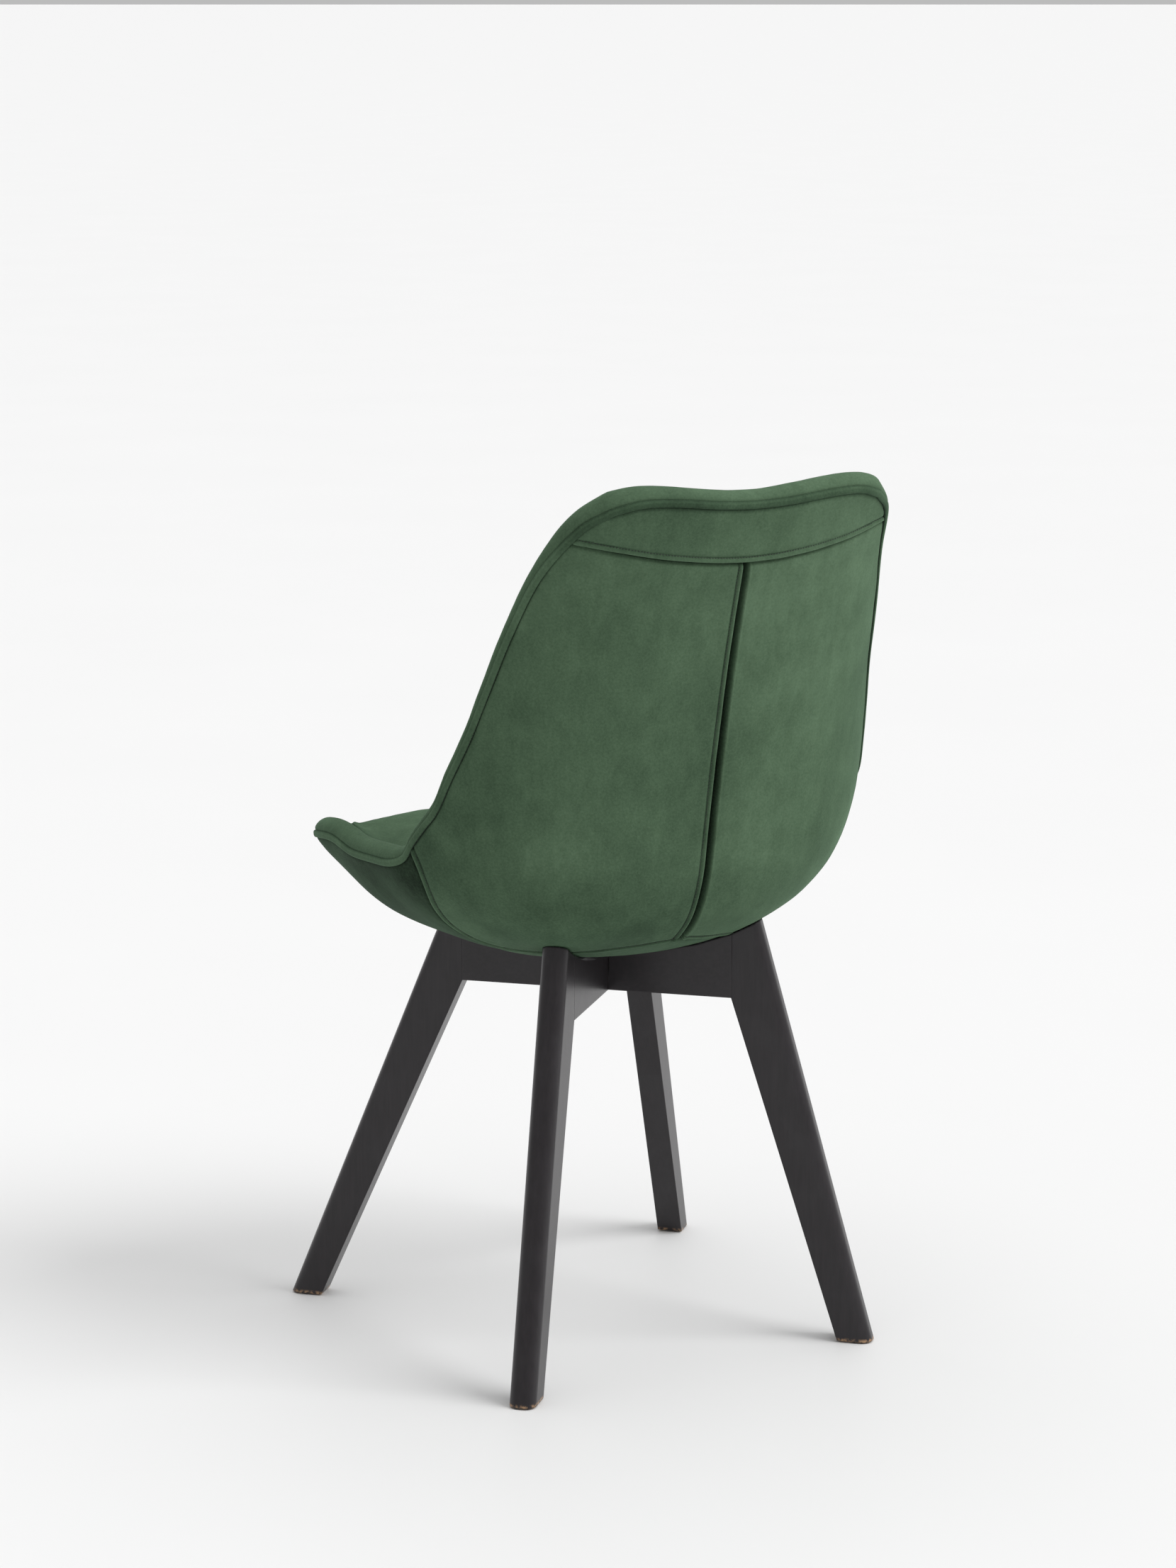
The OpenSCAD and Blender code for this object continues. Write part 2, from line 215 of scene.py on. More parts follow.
leg_wood = black_wood("black_wood_leg", 0.0, (1.0, 1.0, 0.09), feet=True)
for corner in ("front_left", "front_right", "rear_left", "rear_right"):
    finish_node("leg_" + corner, leg_wood)
diagonal = math.radians(45)
finish_node("cross_rail_lower", black_wood("black_wood_lower", diagonal, (0.09, 1.0, 1.0)))
finish_node("cross_rail_upper", black_wood("black_wood_upper", -diagonal, (0.09, 1.0, 1.0)))


# The dowels between rails and legs: fluted bare beech, glued and out of sight.
def bare_beech():
    beech = Finish("bare_beech", Specular_IOR_Level=0.3)
    grain = beech.cloud(beech.place(0, (1, 1, 0.2)), 0.003, 4, 0.6)
    beech.set(Base_Color=beech.blend(grain, (0.46, 0.30, 0.16, 1), (0.62, 0.45, 0.28, 1)),
              Roughness=0.55 + 0.2 * grain, Normal=beech.bump(grain, 0.0001, 0.5))
    return beech.material


finish_node("leg_dowels", bare_beech())


# The glides: discs of pressed black felt pinned under the feet.
def pressed_felt():
    felt = Finish("pressed_felt", Sheen_Weight=0.4, Specular_IOR_Level=0.2)
    fuzz = felt.cloud(felt.place(), 0.0012, 4, 0.7)
    felt.set(Base_Color=felt.blend(fuzz, (0.02, 0.02, 0.02, 1), (0.07, 0.07, 0.07, 1)),
             Roughness=0.85 + 0.1 * fuzz, Normal=felt.bump(fuzz, 0.0004))
    return felt.material


finish_node("foot_glides", pressed_felt())


# The fixings: zinc-plated bolts and washers in the rails' counterbores, and
# brass inserts in the bosses of the moulded shell.
def plated(name, dull, bright):
    metal = Finish(name, Metallic=1.0)
    scuff = metal.cloud(metal.place(), 0.002, 4, 0.65)
    metal.set(Base_Color=metal.blend(scuff, (*dull, 1), (*bright, 1)),
              Roughness=0.28 + 0.25 * scuff, Normal=metal.bump(scuff, 0.00003, 0.5))
    return metal.material


zinc = plated("zinc_plate", (0.42, 0.42, 0.44), (0.68, 0.68, 0.70))
finish_node("mounting_bolts", zinc)
finish_node("bolt_washers", zinc)
brass = plated("insert_brass", (0.52, 0.37, 0.16), (0.76, 0.58, 0.30))
finish_node("threaded_inserts", brass)


# The moulded shell that carries the upholstery: black polypropylene with a
# fine spark texture, seen only from below, between the rails.
def moulded():
    plastic = Finish("moulded_plastic", Specular_IOR_Level=0.4)
    grain = plastic.cloud(plastic.place(), 0.0009, 3, 0.6)
    black = plastic.blend(grain, (0.018, 0.018, 0.019, 1), (0.030, 0.030, 0.031, 1))
    plastic.set(Base_Color=black, Roughness=0.52 + 0.15 * grain,
                Normal=plastic.bump(grain, 0.00012, 0.7))
    return plastic.material


shell_plastic = moulded()
finish_node("seat_shell", shell_plastic)
finish_node("shell_bosses", shell_plastic)


# The outer face of the upholstered shell, as cross lines from the front lip to
# the crest. Each line has the centre's y and z, its half width, the rim's y
# and z (mm, from the cross centre), how full it is, and how far it wraps.
LINES = np.array([
    (-243, 455, 182, -208, 461, 2.00, 0.90), (-236, 440, 213, -180, 473, 2.24, 0.95),
    (-218, 416, 226, -152, 483, 2.44, 0.97), (-170, 391, 232, -108, 490, 2.52, 0.97),
    (-100, 375, 236, -61, 487, 2.47, 0.97), (-30, 372, 239, -12, 490, 2.29, 0.97),
    (40, 375, 241, 24, 494, 2.20, 0.97), (100, 389, 239, 47, 502, 2.19, 0.96),
    (148, 411, 240, 66, 520, 2.27, 0.94), (178, 438, 237, 80, 535, 2.26, 0.92),
    (196, 476, 233, 96, 552, 2.30, 0.88), (207, 530, 227, 111, 582, 2.33, 0.84),
    (218, 590, 218, 130, 620, 2.36, 0.80), (232, 655, 209, 148, 662, 2.40, 0.80),
    (248, 720, 199, 173, 715, 2.40, 0.80), (263, 774, 185, 202, 770, 2.40, 0.80),
    (275, 815, 166.7, 241, 813, 2.40, 0.80), (279.5, 831, 145.6, 264, 833, 2.40, 0.80),
    (283, 844.5, 167.7, 268, 852, 2.40, 0.80)])
LINES[:, :5] *= 0.001
LAST = len(LINES) - 1
PADDED_LINES = np.vstack([2 * LINES[0] - LINES[1], LINES, 2 * LINES[-1] - LINES[-2]])
WALL = 0.025                 # cover, foam, moulded shell, foam and cover together
FRONT = 0.47                 # the panels start at this line, behind the rolled rim
UNDER = 0.5                  # half width of the underside panel, as a share


def line_at(t):
    i = np.clip(np.floor(t).astype(int), 0, LAST - 1)
    s = (t - i)[..., None]
    a, b, c, d = (PADDED_LINES[i + k] for k in range(4))
    return 0.5 * (2 * b + (c - a) * s + (2 * a - 5 * b + 4 * c - d) * s**2
                  + (3 * b - a - 3 * c + d) * s**3)


def wrap(s, n, k):
    return 1 - (1 - (k * s)**n)**(1 / n)


def face(u, t):
    u, t = np.broadcast_arrays(np.asarray(u, float), np.asarray(t, float))
    line = line_at(t)
    n, k = line[..., 5], line[..., 6]
    g = wrap(np.abs(u), n, k) / wrap(1.0, n, k)
    return np.stack([line[..., 2] * u,
                     line[..., 0] + (line[..., 3] - line[..., 0]) * g + cross.y,
                     line[..., 1] + (line[..., 4] - line[..., 1]) * g], -1)


def unit(v):
    return v / np.maximum(np.linalg.norm(v, axis=-1, keepdims=True), 1e-12)


def inward(u, t):
    h = 0.02
    return unit(np.cross(face(np.minimum(u + h, 1), t) - face(np.maximum(u - h, -1), t),
                         face(u, np.minimum(t + 0.1, LAST)) - face(u, np.maximum(t - 0.1, 0))))


def edge(t):
    """The share of a line that the panels cover, up to the rolled rim."""
    t = np.asarray(t, float)
    pace = np.linalg.norm(face(np.ones_like(t), t) - face(np.full_like(t, 0.97), t), axis=-1) / 0.03
    return 1 - 0.85 * WALL / 2 / pace


def curve(s, places, values):
    """A smooth curve through a few places."""
    fine = np.linspace(places[0], places[-1], 400)
    bent = np.interp(fine, places, values)
    weights = np.hanning(41) / np.hanning(41).sum()
    mirrored = np.concatenate([2 * bent[0] - bent[20:0:-1], bent, 2 * bent[-1] - bent[-2:-22:-1]])
    return np.interp(s, fine, np.convolve(mirrored, weights, "valid"))


def front(s):
    """The panels' front end, drawn back round the two corners."""
    return FRONT + 0.75 * (1 - np.maximum(1 - np.abs(s)**3.5, 0)**(1 / 3.5))


def crest(s):
    """The panels' upper end: it dips in the middle and turns down at the corners."""
    s = np.abs(s)
    return 16.83 + 1.71 * s**2 - 1.66 * s**4 - 0.10 * (1 - np.maximum(1 - s**2.56, 0)**(1 / 2.56))


def band_line(s):
    """The top band's lower seam, which rises towards both sides."""
    return 15.08 + 0.62 * np.abs(s)**1.8


def lower_seam(s):
    """The back panels' lower seam: low on the centre line, forward under the
    seat at the sides, then up to the rim."""
    return curve(np.abs(s), (0, 0.25, 0.42, 0.55, 0.70, 0.80, 0.88, 0.95, 1.0),
                 (8.0, 7.55, 6.8, 6.25, 6.08, 6.2, 6.5, 7.05, 7.6))


# The velvet: a short dark green pile on a knitted backing. The pile lies in
# patches that catch the light differently, and it is pressed down at seams.
# Painted shade darkens its seams, creases and faces turned from the light, and
# painted highlight lightens its folds.
def velvet():
    pile = Finish("green_velvet", Sheen_Weight=0.14, Sheen_Roughness=0.40,
                  Sheen_Tint=(0.46, 0.80, 0.50, 1), Specular_IOR_Level=0.10)
    here = pile.place()
    broad = pile.cloud(here, 0.16, 2, 0.5, 0.3)
    patch = pile.cloud(here, 0.045, 3, 0.55, 0.5)
    streak = pile.cloud(pile.place(0, (1, 1, 0.35)), 0.012, 3, 0.6, 0.3)
    grain = pile.cloud(here, 0.0022, 3, 0.7)
    fibre = pile.cloud(here, 0.0009, 2, 0.6)
    # This attribute holds painted shade and painted highlight from the mesh: seams, creases, folds
    # and faces turned from the light.
    painted_shading = pile.node("Attribute", {"attribute_name": "painted_shading"}, out=2)
    lay = (broad - 0.5) * 0.42 + (patch - 0.5) * 0.26 + (streak - 0.5) * 0.20
    light = 0.5 + lay + (grain - 0.5) * 0.35 + (painted_shading - 0.5) * 0.9
    colour = pile.node("ValToRGB", {"stops": (
        (0.0, (0.0060, 0.0130, 0.0065)), (0.85, (0.118, 0.190, 0.116)),
        (0.35, (0.0380, 0.0690, 0.0390)), (0.55, (0.066, 0.112, 0.065)))}, {0: light})
    tuft = pile.bump(grain, 0.00035, 0.55)
    pile.set(Base_Color=colour, Roughness=0.80 + 0.12 * patch,
             Normal=pile.bump(fibre, 0.00018, 0.5, tuft))
    return pile.material


green_velvet = velvet()


# How the velvet lies beside a seam, as height above the foam and painted shade
# and highlight at a distance from the seam, both in metres and from -1 to 1.
def bell(d, middle, width):
    return np.exp(-((d - middle) / width)**2)


def step(d, low, high):
    s = np.clip((d - low) / (high - low), 0, 1)
    return s * s * (3 - 2 * s)


STITCH_IN = 0.0060           # the topstitching's distance from its fold


def plain_edge(d):
    """Turned under and pulled down by the seam, with painted shade in the groove."""
    return -0.0021 * bell(d, 0, 0.0022) - 0.0004 * bell(d, 0, 0.009), -0.45 * bell(d, 0, 0.0022)


def folded_edge(d):
    """A lapped fold that stands proud, held by a row of topstitching."""
    height = (-0.0030 * (1 - step(d, 0, 0.0011)) + 0.0012 * step(d, 0.0002, 0.0016)
              * (1 - step(d, 0.0036, STITCH_IN)) - 0.0010 * bell(d, STITCH_IN, 0.0010)
              + 0.0004 * bell(d, STITCH_IN + 0.005, 0.004))
    # Painted shade in the gap at the fold, in the stitch groove and where the fold slopes down to
    # it; painted highlight along the top of the fold.
    painted_shading = (-0.62 * bell(d, 0, 0.0009) + 0.28 * bell(d, 0.0016, 0.0010)
            - 0.42 * bell(d, STITCH_IN, 0.0008) - 0.08 * bell(d, 0.0038, 0.0020))
    return height, painted_shading


def rim_side(d):
    """Topstitched along the rim, with painted shade in the groove; the fold itself lies a little
    way over the roll.
    """
    return (-0.0009 * bell(d, 0, 0.0011) + 0.0003 * bell(d, 0.005, 0.004),
            -0.42 * bell(d, 0, 0.0009))


def crest_shade_edge(d):
    """Under the crest, where the pile turns over: a darker band of painted shade."""
    return 0 * d, -0.55 * (1 - step(d, 0.0005, 0.006))


def pleat_fold(d):
    """The centre pleat's stitched side: a folded edge over a deep gap, with painted shade in the
    gap.
    """
    height, painted_shading = folded_edge(d)
    return height - 0.0040 * bell(d, 0, 0.0014), painted_shading - 0.35 * bell(d, 0, 0.0016)


def pleat_plain(d):
    """The centre pleat's other side: a soft roll beside the gap, with painted shade in the gap, a
    painted highlight on the roll and a little painted shade beyond it.
    """
    height = -0.0075 * bell(d, 0, 0.0020) + 0.0008 * bell(d, 0.0042, 0.0024)
    painted_shading = (-1.15 * bell(d, 0, 0.0021) + 0.38 * bell(d, 0.0038, 0.0010)
            - 0.10 * bell(d, 0.0062, 0.0018))
    return height, painted_shading


def spread(length, fine=0.0010, coarse=0.0058, rim=0.0130):
    """Shares of a length, close together near both ends."""
    near = np.arange(0, rim, fine)
    count = max(int((length - 2 * rim) / coarse), 4)
    middle = np.linspace(rim, length - rim, count)
    return np.concatenate([near, middle, length - near[::-1]]) / length


def softness(points, depth=0.0007, seed=0.0):
    """Slow unevenness of foam under cloth, in metres."""
    shift = Vector((seed, 0, 0))
    swell = [noise.noise(Vector(p) * 14 + shift) + 0.45 * noise.noise(Vector(p) * 38 + shift)
             for p in points.reshape(-1, 3)]
    return depth * np.array(swell).reshape(points.shape[:-1])


def paint_shading(mesh, painted_shading):
    """Gives each point its painted shade and highlight, from -1 dark to 1 light."""
    mesh.attributes.new("painted_shading", "FLOAT", "POINT").data.foreach_set(
        "value", np.clip(0.5 + 0.5 * painted_shading, 0, 1).astype(np.float32))


def link(name, verts, faces, material, painted_shading=None):
    mesh = bpy.data.meshes.new(name)
    mesh.from_pydata(verts.tolist(), [], faces.tolist() if hasattr(faces, "tolist") else faces)
    mesh.materials.append(material)
    if painted_shading is not None:
        paint_shading(mesh, painted_shading)
    mesh.shade_smooth()
    piece = bpy.data.objects.new(name, mesh)
    bpy.context.scene.collection.objects.link(piece)
    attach(piece, "root")
    return piece


def sheet_faces(rows, columns, keep=None, closed=False):
    i, j = np.meshgrid(np.arange(rows if closed else rows - 1), np.arange(columns - 1),
                       indexing="ij")
    a = i * columns + j
    below = ((i + 1) % rows) * columns + j
    quads = np.stack([a, a + 1, below + 1, below], -1)
    return quads[keep] if keep is not None else quads.reshape(-1, 4)


def even(line, pace):
    """The line again, with its points a given pace apart."""
    run = np.concatenate([[0], np.cumsum(np.linalg.norm(np.diff(line, axis=0), axis=1))])
    places = np.linspace(0, run[-1], max(int(run[-1] / pace), 2))
    return np.stack([np.interp(places, run, line[:, k]) for k in range(line.shape[1])], -1)


def borders(grid):
    """A grid's four borders, each running with the next one round the grid."""
    return {"low": grid[0], "right": grid[:, -1], "high": grid[-1, ::-1], "left": grid[::-1, 0]}


def distance_to(line, points):
    tree = KDTree(len(line))
    for i, place in enumerate(line):
        tree.insert(place, i)
    tree.balance()
    return np.array([tree.find(p)[2] for p in points.reshape(-1, 3)]).reshape(points.shape[:-1])


def add_backing(piece):
    """Gives the cover the thickness of velvet and its knitted backing."""
    backing = piece.modifiers.new("backing", "SOLIDIFY")
    backing.thickness = 0.0014
    backing.offset = -1


OPENING = 0.082              # half the width of the hole in the cover over the base
stitch_rows = {}


def panel(name, at, width, height, sewn, depth=0.0, outward=True, opening=False, seed=0.0, panel_shading=0.0):
    """One cut piece of velvet. at(s, r) gives its place on the shell, with s
    across and r up, and sewn says how runs of its borders are finished."""
    s, r = np.meshgrid(spread(width), spread(height))
    u, t = at(s, r)
    inner = inward(u, t)
    points = face(u, t) + depth * inner
    up = -inner if outward else inner
    lift = softness(points, seed=seed)
    # Painted shade and highlight laid over the whole panel, then more at each seam below.
    painted_shading = panel_shading(s, r) if callable(panel_shading) else np.full(s.shape, panel_shading)
    pucker = softness(points * 3.2, 0.00022, seed + 50)
    sides, ups = borders(points), borders(up)
    lines = []
    for run, shape in sewn:
        line = even(np.concatenate([np.concatenate([sides[k], ups[k]], 1) for k in run]), 0.0005)
        d = distance_to(line[:, :3], points)
        rise, shade = shape(d)
        lift += rise + pucker * bell(d, 0.005, 0.011)
        painted_shading += shade
        if shape in (folded_edge, pleat_fold):
            lines.append((run, line))
    surface = points + lift[..., None] * up
    keep = None
    if opening:
        middle = (surface[:-1, :-1] + surface[1:, 1:]) / 2
        keep = ((np.abs(middle[..., 0] - cross.x) > OPENING)
                | (np.abs(middle[..., 1] - cross.y) > OPENING))
    quads = sheet_faces(*s.shape, keep)
    corner = surface[:-1, :-1]
    flip = np.sum(np.cross(surface[1:, :-1] - corner, surface[:-1, 1:] - corner)
                  * up[:-1, :-1]) > 0
    piece = link(name, surface.reshape(-1, 3), quads[:, ::-1] if flip else quads,
                 green_velvet, painted_shading.reshape(-1))
    skin = BVHTree.FromPolygons(surface.reshape(-1, 3).tolist(), quads.tolist())
    middle = surface.reshape(-1, 3).mean(0)
    for run, line in lines:
        line = even(line, 0.001)
        along, normal = unit(np.gradient(line[:, :3], axis=0)), unit(line[:, 3:])
        aside = np.cross(normal, along)
        aside *= np.sign(np.sum(aside * (middle - line[:, :3])))
        found = [skin.find_nearest(p)[0] for p in line[:, :3] + STITCH_IN * aside]
        stitch_rows[name + "_" + run[0]] = np.concatenate([np.array(found), normal], 1)
    add_backing(piece)
    return piece


# Two back panels, cut to the curve of the shell and joined at the centre by a
# deep pleat, where the left one is folded and topstitched. Both are stitched
# to the rim, and folded along the seam that runs under the seat.
PLEAT = 0.0015               # half the gap between the pleat's two folds, in metres


def back_at(side):
    def at(s, r):
        t = lower_seam(s) + (band_line(s) - lower_seam(s)) * r
        share = PLEAT / 0.2 + (1 - PLEAT / 0.2) * s
        return side * share * edge(t), t
    return at


# Painted shade darkens the left panel towards its lower seam, and a painted highlight lightens the
# right panel towards the top band.
for side, word, centre in ((1, "left", pleat_fold), (-1, "right", pleat_plain)):
    name = "back_panel_" + word
    piece = panel(name, back_at(side), 0.23, 0.42,
                  [(["left"], centre), (["right"], rim_side), (["low"], folded_edge),
                   (["high"], plain_edge)], seed=3.0 * side,
                  panel_shading=lambda s, r: (-0.17 * (1 - step(r, 0.1, 0.5)) if side > 0
                                    else 0.17 * step(r, 0.45, 0.9)))
    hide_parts("cover_back_" + word)
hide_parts("outer_foam")


# The top band: a strip across the back, folded over the back panels and
# topstitched along its lower edge.
def band_at(s, r):
    share = 2 * s - 1
    t = band_line(share) + (crest(share) - band_line(share)) * r
    return share * edge(t), t


# A faint painted highlight over the band, with painted shade towards its left end.
top_band = panel("top_band", band_at, 0.34, 0.055,
                 [(["right", "high", "left"], rim_side), (["low"], folded_edge),
                  (["high"], crest_shade_edge)], seed=7.0,
                 panel_shading=lambda s, r: 0.05 - 0.12 * step(s, 0.35, 0.7))
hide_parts("cover_top_band")


# Two side panels and one underside panel wrap the bucket below the rim. The
# underside panel is cut away over the base, where the shell meets the rails.
def side_at(side):
    def at(s, r):
        share = UNDER + (1 - UNDER) * s
        t = front(share) + (lower_seam(share) - front(share)) * r
        return side * share * edge(t), t
    return at


# Painted shade darkens both side panels heavily, most towards their seam with the back panels.
for side, word in ((1, "left"), (-1, "right")):
    piece = panel("side_panel_" + word, side_at(side), 0.16, 0.26,
                  [(["low", "right"], rim_side), (["high"], plain_edge), (["left"], plain_edge)],
                  seed=11.0 * side, panel_shading=lambda s, r: -0.80 - 0.50 * step(r, 0.35, 0.9))
    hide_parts("cover_side_" + word)


def underside_at(s, r):
    share = UNDER * (2 * s - 1)
    t = front(share) + (lower_seam(share) - front(share)) * r
    return share * edge(t), t


# Painted shade darkens the underside panel a little all over.
underside = panel("underside_panel", underside_at, 0.24, 0.40,
                  [(["low", "right", "high", "left"], plain_edge)],
                  opening=True, seed=17.0, panel_shading=-0.25)
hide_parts("cover_underside")


# The inner cover: two halves joined by a topstitched centre seam down the
# back, and one piece under the seat pad.
INNER = 9.2                  # the line where the inner back meets the inner seat


def inner_back_at(side):
    def at(s, r):
        t = INNER + (crest(s) - INNER) * r
        return side * (0.003 + 0.997 * s) * edge(t), t
    return at


for side, word, centre in ((1, "left", folded_edge), (-1, "right", plain_edge)):
    piece = panel("inner_back_" + word, inner_back_at(side), 0.20, 0.40,
                  [(["left"], centre), (["low", "right", "high"], plain_edge)],
                  depth=WALL, outward=False, seed=23.0 * side)
    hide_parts("cover_inner_back" if side > 0 else "inner_foam")


def inner_seat_at(s, r):
    share = 2 * s - 1
    t = front(share) + (INNER - front(share)) * r
    return share * edge(t), t


inner_seat = panel("inner_seat", inner_seat_at, 0.44, 0.50,
                   [(["low", "right", "high", "left"], plain_edge)],
                   depth=WALL, outward=False, seed=29.0)
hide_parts("cover_inner_seat")


# The rolled rim: a strip of velvet drawn round a foam bead on the shell's
# edge. Its pile turns over the crest, where painted shade lays a darker line.
RIM_SEAM = 0.0062            # how far over the roll its fold lies, from the panels' borders


def rolled_rim():
    across = np.sin(np.linspace(-np.pi / 2, np.pi / 2, 121))
    low, top = front(across), crest(across)
    up = np.linspace(low[-1], top[-1], 200)[1:-1]
    u = np.concatenate([across * edge(low), edge(up), (across * edge(top))[::-1], -edge(up)[::-1]])
    t = np.concatenate([low, up, top[::-1], up[::-1]])
    path, depth_way = face(u, t), inward(u, t)
    run = np.concatenate([[0], np.cumsum(np.linalg.norm(np.diff(path, axis=0), axis=1))])
    places = np.arange(0, run[-1], 0.0045)
    path, depth_way = (np.stack([np.interp(places, run, v[:, k]) for k in range(3)], -1)
                       for v in (path, depth_way))
    along = unit(np.roll(path, -1, 0) - np.roll(path, 1, 0))
    out = np.cross(along, depth_way)
    for _ in range(6):
        out = (np.roll(out, 1, 0) + 2 * out + np.roll(out, -1, 0)) / 4
    out = unit(out)
    turn = np.concatenate([np.linspace(-90, -48, 30), np.linspace(-44, 90, 24)])
    a, radius = np.radians(turn), WALL / 2
    d = radius * (a - a[0])
    fold = RIM_SEAM - d
    lap = np.where(fold > 0, 0.0007 * step(fold, 0, 0.0010),
                   -0.0016 * (1 - step(-fold, 0.0003, 0.0045)))
    lap = lap - 0.0009 * bell(d, 0, 0.0011) - 0.0016 * bell(d, d[-1], 0.0022)
    wobble = softness(path, 0.0010, 41.0)[:, None] + softness(path * 3, 0.00035, 44.0)[:, None]
    girth = radius + wobble * np.cos(a)[None, :] + lap[None, :]
    points = (path[:, None] + (0.85 * girth * np.cos(a))[..., None] * out[:, None]
              + (radius + girth * np.sin(a))[..., None] * depth_way[:, None])
    # Painted shade at the stitched border, in the gap past the fold and deep in the crease against
    # the seat pad; painted highlight on the fold and on the roll's outer face.
    painted_shading = (-0.42 * bell(d, 0, 0.0009) + 0.22 * bell(fold, 0.0011, 0.0009)
            - 0.62 * bell(fold, -0.0004, 0.0010) - 1.1 * bell(turn, 90, 22)
            + 0.10 * bell(turn, -5, 30))
    # A darker band of painted shade where the rim runs over the crest, varied at random.
    crest_shade = -0.55 * step(fold, -0.0002, 0.0006) * step(path[:, 2], 0.780, 0.815)[:, None]
    painted_shading = painted_shading[None, :] + crest_shade * (0.8 + 90 * softness(path, 0.003, 5.0))[:, None]
    quads = sheet_faces(len(path), len(turn), closed=True)
    piece = link("rolled_rim", points.reshape(-1, 3), quads,
                 green_velvet, painted_shading.reshape(-1))
    add_backing(piece)
    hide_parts("rim_band", "rim_foam")
    on_fold = int(np.argmin(np.abs(fold - 0.0008)))
    for row_name, k in (("rim_border", 0), ("rim_fold", on_fold)):
        normal = unit(0.85 * np.cos(a[k]) * out + np.sin(a[k]) * depth_way)
        stitch_rows[row_name] = np.concatenate([points[:, k], normal], 1)


rolled_rim()


# Topstitching: a matching green thread in short raised stitches.
def thread_finish():
    thread = Finish("green_thread", Specular_IOR_Level=0.35, Sheen_Weight=0.2)
    twist = thread.cloud(thread.place(), 0.0012, 2)
    thread.set(Base_Color=thread.blend(twist, (0.004, 0.010, 0.005, 1), (0.010, 0.022, 0.011, 1)),
               Roughness=0.5 + 0.2 * twist)
    return thread.material


green_thread = thread_finish()


def stitches(name, row, pitch=0.0029, length=0.0021, thick=0.00034):
    points, up = row[:, :3], unit(row[:, 3:])
    run = np.concatenate([[0], np.cumsum(np.linalg.norm(np.diff(points, axis=0), axis=1))])
    places = np.arange(pitch, run[-1] - pitch, pitch)

    def at(values, where):
        return np.stack([np.interp(where, run, values[:, k]) for k in range(3)], -1)

    centre, normal = at(points, places), unit(at(up, places))
    along = unit(at(points, places + 0.001) - at(points, places - 0.001))
    beside = np.cross(along, normal)
    s, angle = np.meshgrid(np.linspace(-1, 1, 5), np.linspace(0, 2 * np.pi, 6, endpoint=False),
                           indexing="ij")
    girth = thick * np.sqrt(1 - 0.85 * s**2)
    rise = 0.00042 * (1 - s**2) + girth * np.cos(angle) - 0.00012
    verts = (centre[:, None, None] + (s * length / 2)[None, ..., None] * along[:, None, None]
             + rise[None, ..., None] * normal[:, None, None]
             + (girth * np.sin(angle))[None, ..., None] * beside[:, None, None])
    one = [(i * 6 + j, i * 6 + (j + 1) % 6, (i + 1) * 6 + (j + 1) % 6, (i + 1) * 6 + j)
           for i in range(4) for j in range(6)]
    faces = (np.array(one)[None] + 30 * np.arange(len(places))[:, None, None]).reshape(-1, 4)
    return link(name, verts.reshape(-1, 3), faces, green_thread)


for row_name, row in stitch_rows.items():
    stitches("stitches_" + row_name, row)


# The seat pad: a loose foam cushion in a velvet cover. It fills the bucket from
# rim to rim, with a low crown on top and a seam round the middle of its edge.
# Its cut shape is blown up a little as cloth, and the seam is pulled in after.
PAD_EDGE = 0.0170            # thickness at the seam
PAD_FRONT, PAD_BACK = 0.52, 8.55     # the lines it lies between
PAD_WIDE = 0.902             # its width, as a share of the shell's
PAD_TOP = 0.4905             # height of the top, at the front
PAD_SIDE = 81                # points along each side before the remesh
SWELL_CAP = 0.003            # the furthest that a point may swell


def pad_shape(s, v):
    """The pad's underside and top at a place along and across it."""
    low = PAD_WIDE * (1 - 0.10 * np.abs(2 * s - 1)**7) * v
    t = PAD_FRONT + (PAD_BACK - PAD_FRONT) * s
    share = np.minimum(np.abs(low) / edge(t), 1)
    t = t + (front(share) - FRONT) * np.maximum(FRONT + 3 - t, 0) / 3
    under = face(low, t) + (WALL + 0.0008) * inward(low, t)
    roof = PAD_TOP - 0.0045 * v**2 - 0.013 * s
    full = 1 - np.maximum(np.abs(v), np.abs(2 * s - 1))**4.7
    top = under.copy()
    top[..., 2] += PAD_EDGE + np.maximum(roof - under[..., 2] - PAD_EDGE, 0) * full
    return under, top


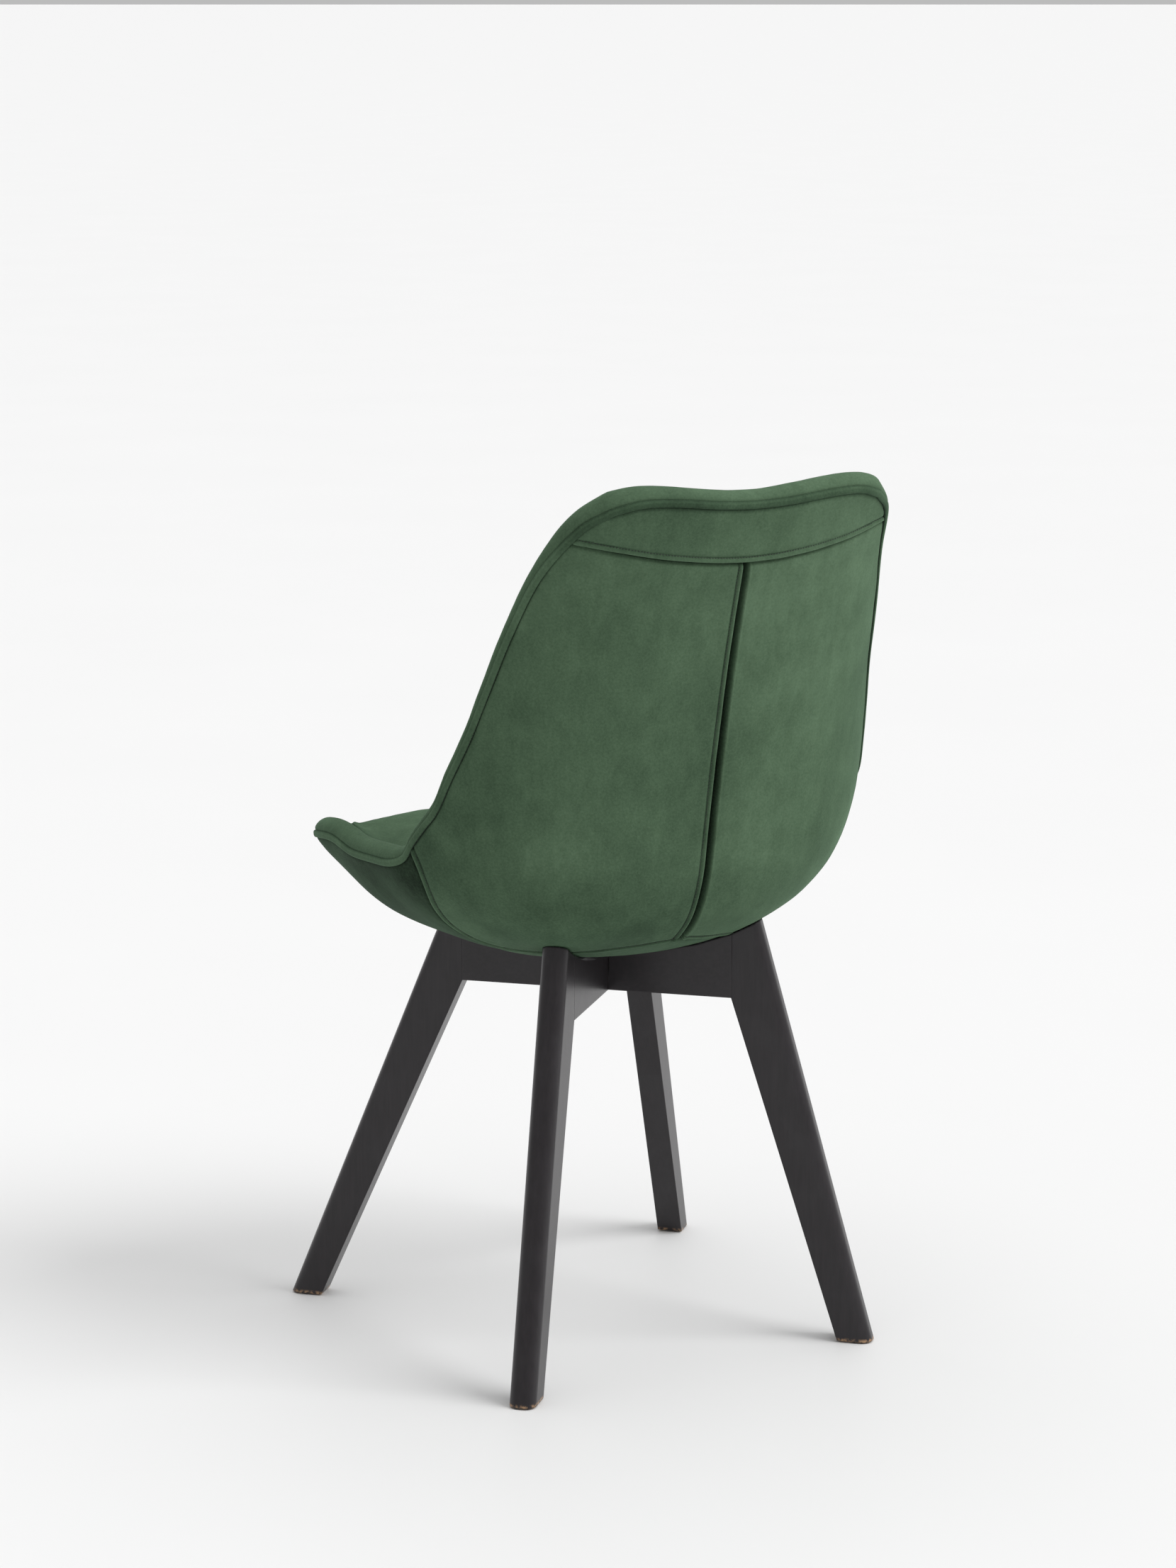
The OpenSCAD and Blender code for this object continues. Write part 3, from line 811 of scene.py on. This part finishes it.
def seat_pad():
    v, s = np.meshgrid(np.linspace(-1, 1, PAD_SIDE), np.linspace(0, 1, PAD_SIDE))
    under, top = pad_shape(s, v)
    size = v.size
    grid = sheet_faces(PAD_SIDE, PAD_SIDE)
    i = np.arange(size).reshape(PAD_SIDE, PAD_SIDE)
    ring = np.concatenate([i[0, :-1], i[:-1, -1], i[-1, :0:-1], i[:0:-1, 0]])
    wall = np.stack([ring, ring + size, np.roll(ring, -1) + size, np.roll(ring, -1)], -1)
    faces = np.concatenate([grid, grid[:, ::-1] + size, wall])
    pad = link("seat_pad", np.concatenate([under, top]).reshape(-1, 3), faces[:, ::-1],
               green_velvet)
    seam = even(((under + top) / 2).reshape(-1, 3)[np.append(ring, ring[0])], 0.002)
    bpy.context.view_layer.objects.active = pad
    remesh = pad.modifiers.new("remesh", "REMESH")
    remesh.mode, remesh.voxel_size = "VOXEL", 0.0045
    bpy.ops.object.modifier_apply(modifier="remesh")
    settle = pad.modifiers.new("settle", "SMOOTH")
    settle.iterations = 9
    bpy.ops.object.modifier_apply(modifier="settle")
    start = np.empty(len(pad.data.vertices) * 3, np.float32)
    pad.data.vertices.foreach_get("co", start)
    start = start.reshape(-1, 3).astype(float)
    cloth = pad.modifiers.new("cloth", "CLOTH")
    cloth.settings.use_pressure = True
    cloth.settings.uniform_pressure_force = 4
    cloth.settings.effector_weights.gravity = 0
    cloth.point_cache.frame_start, cloth.point_cache.frame_end = 1, 20
    for moment in range(1, 21):
        bpy.context.scene.frame_set(moment)
    blown = pad.evaluated_get(bpy.context.evaluated_depsgraph_get())
    moved = np.empty(start.size, np.float32)
    blown.data.vertices.foreach_get("co", moved)
    shift = moved.reshape(-1, 3) - start
    far = np.linalg.norm(shift, axis=1, keepdims=True)
    shift *= np.minimum(1, SWELL_CAP / np.maximum(far, 1e-9))
    pad.modifiers.remove(cloth)
    bpy.context.scene.frame_set(1)
    start += shift
    way = np.empty(start.size, np.float32)
    pad.data.vertices.foreach_get("normal", way)
    d = distance_to(seam, start)
    rise = softness(start, 0.0010, 61.0) - 0.0030 * bell(d, 0, 0.0035)
    pad.data.vertices.foreach_set("co", (start + rise[:, None] * way.reshape(-1, 3)).reshape(-1))
    # Painted shade along the pulled-in seam round the pad's edge.
    paint_shading(pad.data, -0.9 * bell(d, 0, 0.0065))
    pad.data.shade_smooth()
    fill = pad.modifiers.new("fill", "SUBSURF")
    fill.levels = fill.render_levels = 1
    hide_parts("seat_pad_foam", "seat_pad_cover", "seat_pad_underside")


seat_pad()
